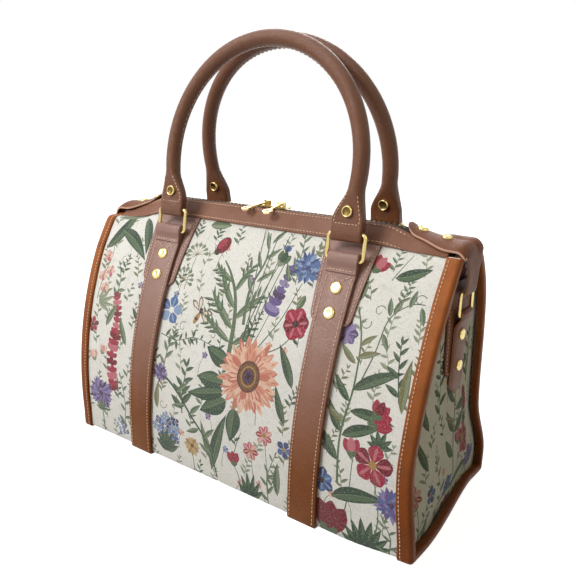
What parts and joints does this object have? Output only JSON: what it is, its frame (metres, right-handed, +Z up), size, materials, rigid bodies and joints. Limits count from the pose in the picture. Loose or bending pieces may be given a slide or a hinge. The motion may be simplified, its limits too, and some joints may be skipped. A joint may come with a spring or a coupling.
{
  "type": "tapestry handbag",
  "caption": "Zip-top holdall handbag in floral tapestry with leather straps, end bindings, rolled arch handles on brass rings, riveted patches and ringed end hoods.",
  "frame": {"origin": "under the middle of the bag, on the surface it stands on", "axes": "+X along the zip towards the end seen in the picture, -Y the front, +Z up"},
  "size_m": [0.3342, 0.1568, 0.3435],
  "materials": {
    "tapestry": "woven floral, matte",
    "leather": "soft grain, satin",
    "tan_leather": "soft grain, satin",
    "lining": "plain cloth",
    "zip_tape": "woven tape with moulded teeth",
    "board": "matte",
    "core": "twisted cord",
    "brass": "polished"
  },
  "bodies": {
    "bag": {"body_wrap": "tapestry", "end_panel_left": "tapestry", "end_panel_right": "tapestry", "lining": "lining", "base_board": "board", "binding_left": "tan_leather", "binding_right": "tan_leather", "zip_band_front": "leather", "zip_band_back": "leather", "zip_stringer_front": "zip_tape", "zip_stringer_back": "zip_tape", "strap_left": "leather", "strap_right": "leather", "strap_patch_front_left": "leather", "strap_patch_front_right": "leather", "strap_patch_back_left": "leather", "strap_patch_back_right": "leather", "hood_left": "leather", "hood_right": "leather", "side_ring_left": "brass", "side_ring_right": "brass", "side_anchor_left": "leather", "side_anchor_right": "leather", "side_patch_left": "leather", "side_patch_right": "leather", "strap_rivets": "brass", "hood_rivets": "brass", "side_rivets": "brass"},
    "zip_left": {"zip_slider_left": "brass"},
    "zip_right": {"zip_slider_right": "brass"},
    "pull_left": {"zip_pull_left": "brass"},
    "pull_right": {"zip_pull_right": "brass"},
    "front_rings": {"ring_front_left": "brass", "ring_front_right": "brass"},
    "front_handle": {"handle_front": "leather", "handle_core_front": "core", "handle_rivets_front": "brass"},
    "back_rings": {"ring_back_left": "brass", "ring_back_right": "brass"},
    "back_handle": {"handle_back": "leather", "handle_core_back": "core", "handle_rivets_back": "brass"}
  },
  "joints": [
    {"name": "zip_slide_left", "type": "slide", "parent": "bag", "child": "zip_left", "axis": [-1, 0, 0], "range_m": [0, 0.09]},
    {"name": "zip_slide_right", "type": "slide", "parent": "bag", "child": "zip_right", "axis": [1, 0, 0], "range_m": [0, 0.09]},
    {"name": "pull_left_swing", "type": "hinge", "parent": "zip_left", "child": "pull_left", "pos_m": [-0.007, 0, 0.2161], "axis": [-0.8829, 0.4695, 0], "range_deg": [0, 200]},
    {"name": "pull_right_swing", "type": "hinge", "parent": "zip_right", "child": "pull_right", "pos_m": [0.007, 0, 0.2161], "axis": [-1, 0, 0], "range_deg": [0, 200]},
    {"name": "front_ring_swing", "type": "hinge", "parent": "bag", "child": "front_rings", "pos_m": [0, -0.03185, 0.18789], "axis": [1, 0, 0], "range_deg": [0, 40]},
    {"name": "front_handle_swing", "type": "hinge", "parent": "front_rings", "child": "front_handle", "pos_m": [0, -0.02896, 0.20616], "axis": [1, 0, 0], "range_deg": [0, 75]},
    {"name": "back_ring_swing", "type": "hinge", "parent": "bag", "child": "back_rings", "pos_m": [0, 0.03185, 0.18789], "axis": [-1, 0, 0], "range_deg": [0, 40]},
    {"name": "back_handle_swing", "type": "hinge", "parent": "back_rings", "child": "back_handle", "pos_m": [0, 0.02896, 0.20616], "axis": [-1, 0, 0], "range_deg": [0, 75]}
  ]
}
